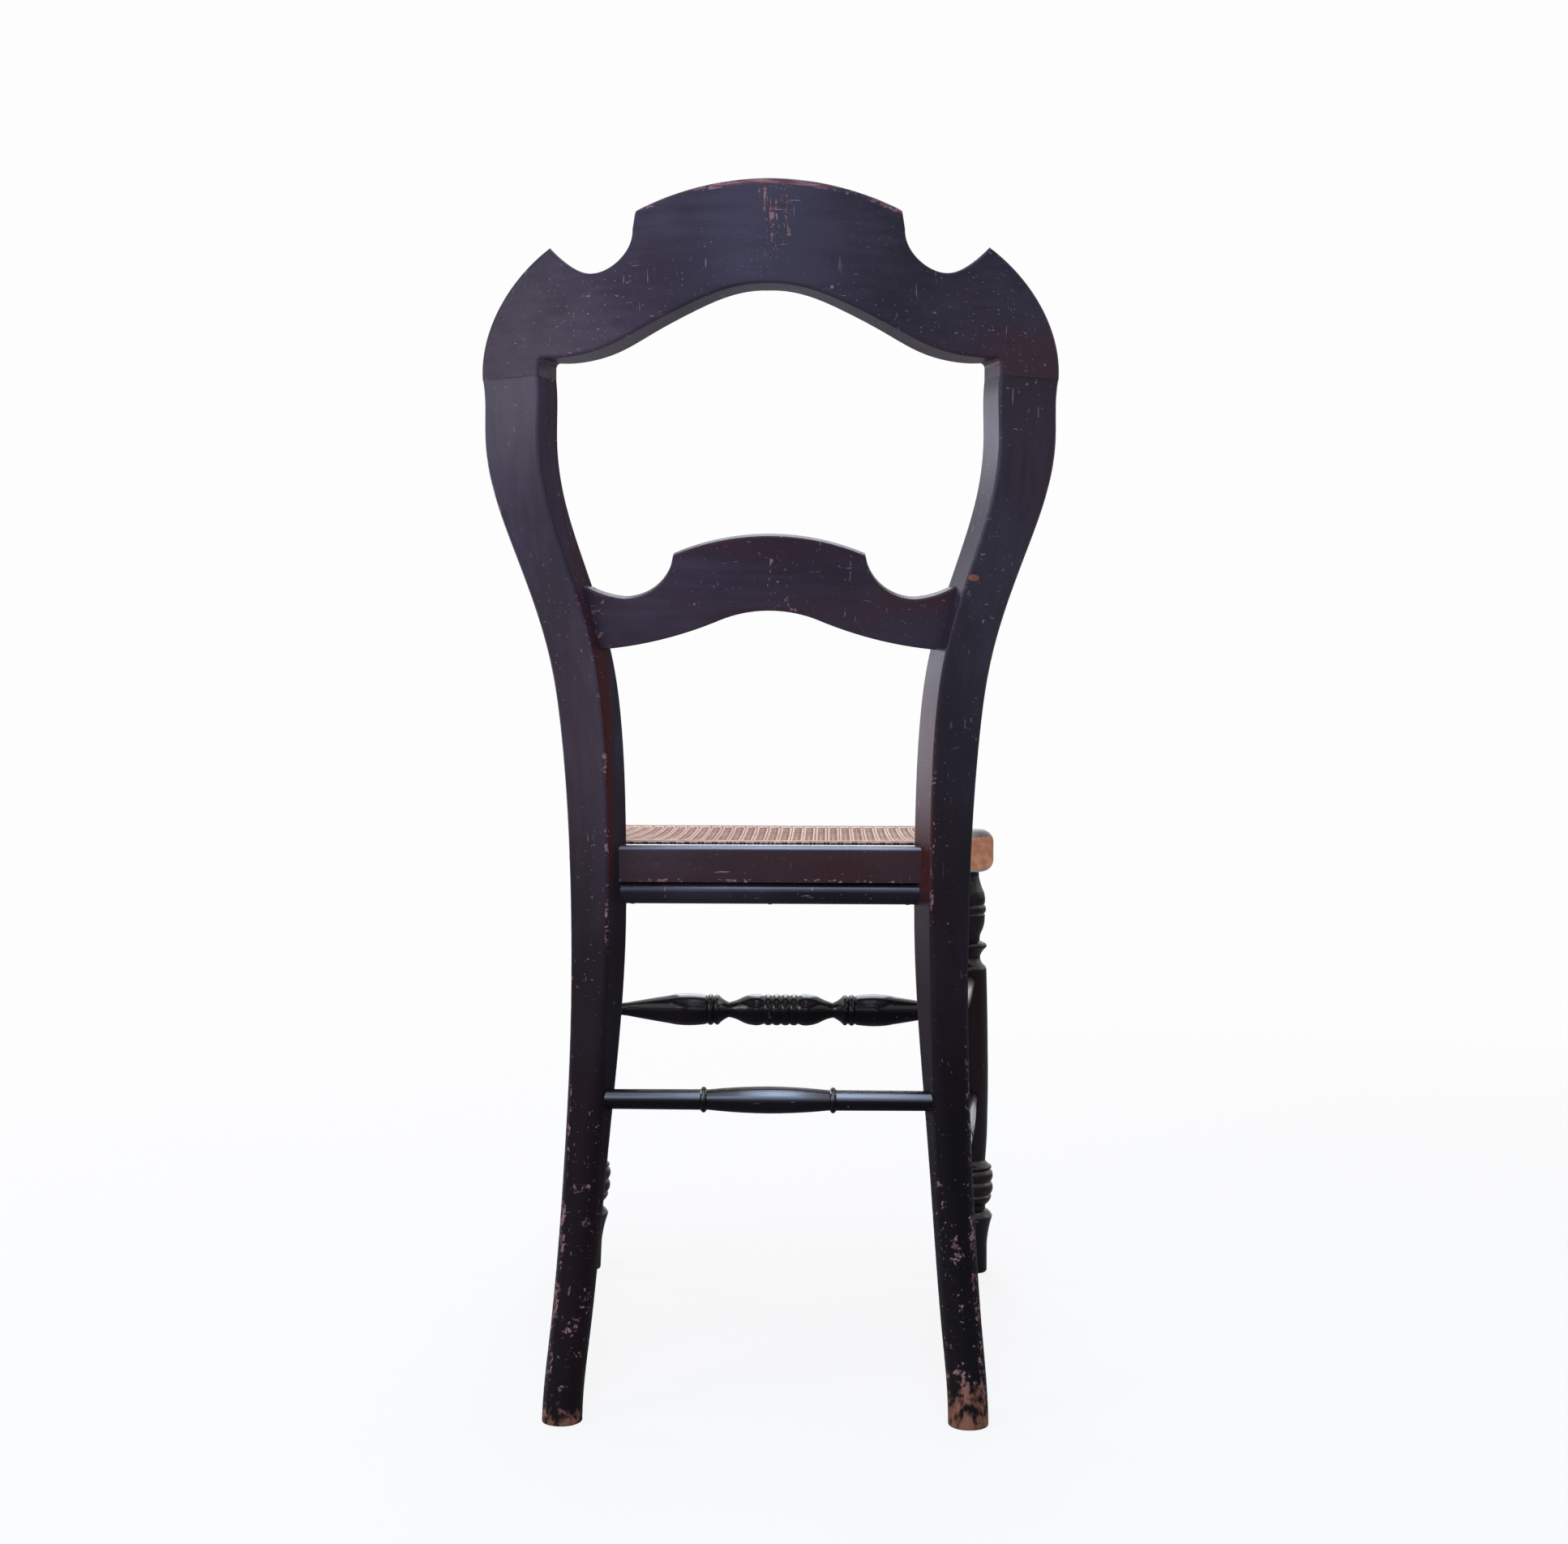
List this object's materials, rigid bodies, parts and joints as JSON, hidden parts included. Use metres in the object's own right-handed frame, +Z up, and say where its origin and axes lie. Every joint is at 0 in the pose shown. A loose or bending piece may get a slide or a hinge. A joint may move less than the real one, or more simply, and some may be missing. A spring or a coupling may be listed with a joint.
{
  "type": "side chair",
  "caption": "Painted side chair with a balloon-shaped back, stepped crest and middle rails, caned seat, turned front legs and turned stretchers.",
  "frame": {"origin": "on the floor, under the middle of the chair's box", "axes": "+X to the sitter's left, +Y to the back of the chair, +Z up; the chair is mirrored about the plane X = 0"},
  "size_m": [0.4212, 0.5045, 0.8831],
  "materials": {
    "black_paint": "old black paint over red-brown wood, satin, worn at the edges and feet",
    "cane": "split cane, aged, with a slight sheen",
    "bare_wood": "unfinished turned hardwood",
    "iron_brads": "dark iron, painted over"
  },
  "bodies": {
    "root": {"rear_post_left": "black_paint", "rear_post_right": "black_paint", "crest_rail": "black_paint", "mid_rail": "black_paint", "seat_rail_rear": "black_paint", "seat_rail_front": "black_paint", "seat_rail_left": "black_paint", "seat_rail_right": "black_paint", "rear_bead": "black_paint", "front_leg_left": "black_paint", "front_leg_right": "black_paint", "front_stretcher": "black_paint", "rear_stretcher": "black_paint", "side_stretcher_upper_left": "black_paint", "side_stretcher_upper_right": "black_paint", "side_stretcher_lower_left": "black_paint", "side_stretcher_lower_right": "black_paint", "cane_panel": "cane", "cane_binder": "cane", "cane_pegs": "bare_wood", "crest_dowels": "bare_wood", "seat_frame_dowels": "bare_wood", "bead_brads": "iron_brads"}
  },
  "joints": []
}
